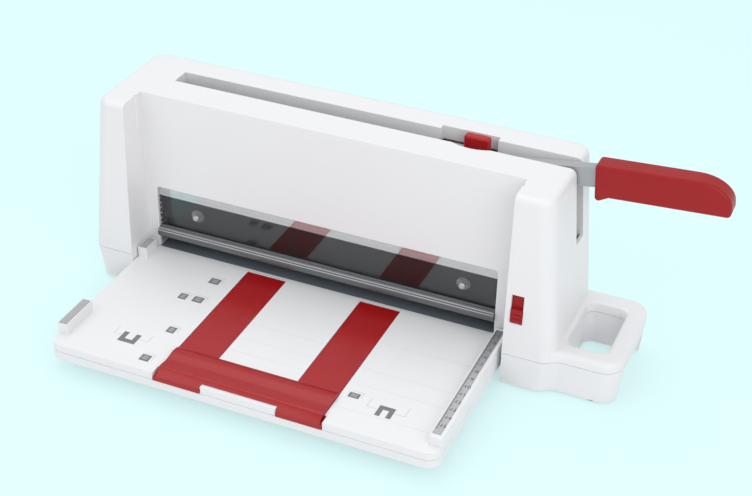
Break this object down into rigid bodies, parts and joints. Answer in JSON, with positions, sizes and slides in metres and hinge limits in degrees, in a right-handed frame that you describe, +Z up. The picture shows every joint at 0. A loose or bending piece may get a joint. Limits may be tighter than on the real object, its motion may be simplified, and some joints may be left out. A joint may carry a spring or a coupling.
{
  "type": "paper cutter",
  "caption": "Desktop stack paper cutter: lever-driven guillotine blade behind a smoked guard, fold-up paper table with pull-out gauge, lever lock and side carry loop.",
  "frame": {"origin": "on the desk, under the middle of the footprint", "axes": "+X along the cut towards the grip, +Y from the operator to the rear, +Z up"},
  "size_m": [0.5144, 0.2322, 0.1836],
  "materials": {
    "white_plastic": "fine satin moulding",
    "red_plastic": "satin moulding",
    "steel": "brushed",
    "dark_metal": "satin dark paint",
    "smoked_clear": "smoked, clear and glossy",
    "brass": "plain turned",
    "rubber": "matt",
    "arm_metal": "satin light grey",
    "grey_inlay": "matt",
    "strip_plastic": "matt"
  },
  "bodies": {
    "housing": {"base": "white_plastic", "bottom_plate": "steel", "plate_screws": "steel", "rubber_feet": "rubber", "top_cover": "white_plastic", "rear_panel": "white_plastic", "guard": "smoked_clear", "guard_screws": "steel", "cutting_strip": "strip_plastic", "bed_plates": "dark_metal", "pivot_bracket": "steel", "bracket_screws": "steel", "pivot_pin": "steel", "pivot_ring": "steel", "guide_posts": "steel", "slide_keeper": "dark_metal", "hinge_pins": "steel"},
    "lever": {"lever_arm": "arm_metal", "pivot_bush": "brass", "handle_grip": "red_plastic"},
    "roller": {"drive_roller": "steel"},
    "carriage": {"blade_carrier": "dark_metal", "carrier_bushes": "brass", "blade": "steel", "blade_keeper": "dark_metal", "blade_screws": "steel"},
    "clamp": {"clamp_bar": "dark_metal", "clamp_pins": "steel", "clamp_springs": "steel"},
    "lever_lock": {"lock_knob": "red_plastic", "lock_tongue": "steel"},
    "front_slide": {"slide_button": "red_plastic"},
    "tray": {"tray_top": "white_plastic", "tray_shell": "white_plastic", "tray_screws": "steel", "tray_feet": "rubber", "fence_caps": "grey_inlay", "ruler_strip": "grey_inlay"},
    "gauge": {"back_gauge": "red_plastic"}
  },
  "joints": [
    {"name": "lever_swing", "type": "hinge", "parent": "housing", "child": "lever", "pos_m": [-0.18808, 0.0787, 0.1137], "axis": [0, -1, 0], "range_deg": [-8.3, 35]},
    {"name": "roller_spin", "type": "hinge", "parent": "lever", "child": "roller", "pos_m": [-0.12808, 0.0721, 0.0818], "axis": [0, 1, 0], "continuous": true},
    {"name": "carriage_slide", "type": "slide", "parent": "housing", "child": "carriage", "axis": [0, 0, 1], "range_m": [-0.0095, 0.0396]},
    {"name": "clamp_slide", "type": "slide", "parent": "housing", "child": "clamp", "axis": [0, 0, 1], "range_m": [-0.0077, 0.0319], "deforming": ["clamp_springs"]},
    {"name": "lock_slide", "type": "slide", "parent": "housing", "child": "lever_lock", "axis": [-1, 0, 0], "range_m": [0, 0.018]},
    {"name": "button_slide", "type": "slide", "parent": "housing", "child": "front_slide", "axis": [0, 0.0288, 0.9996], "range_m": [0, 0.012]},
    {"name": "tray_fold", "type": "hinge", "parent": "housing", "child": "tray", "pos_m": [-0.05808, 0.0311, 0.025], "axis": [-1, 0, 0], "range_deg": [0, 90]},
    {"name": "gauge_slide", "type": "slide", "parent": "tray", "child": "gauge", "axis": [0, -1, 0], "range_m": [0, 0.1]}
  ],
  "couplings": [
    {"joint": "carriage_slide", "follows": "lever_swing", "m_per_rad": 0.0645},
    {"joint": "clamp_slide", "follows": "lever_swing", "m_per_rad": 0.052}
  ]
}
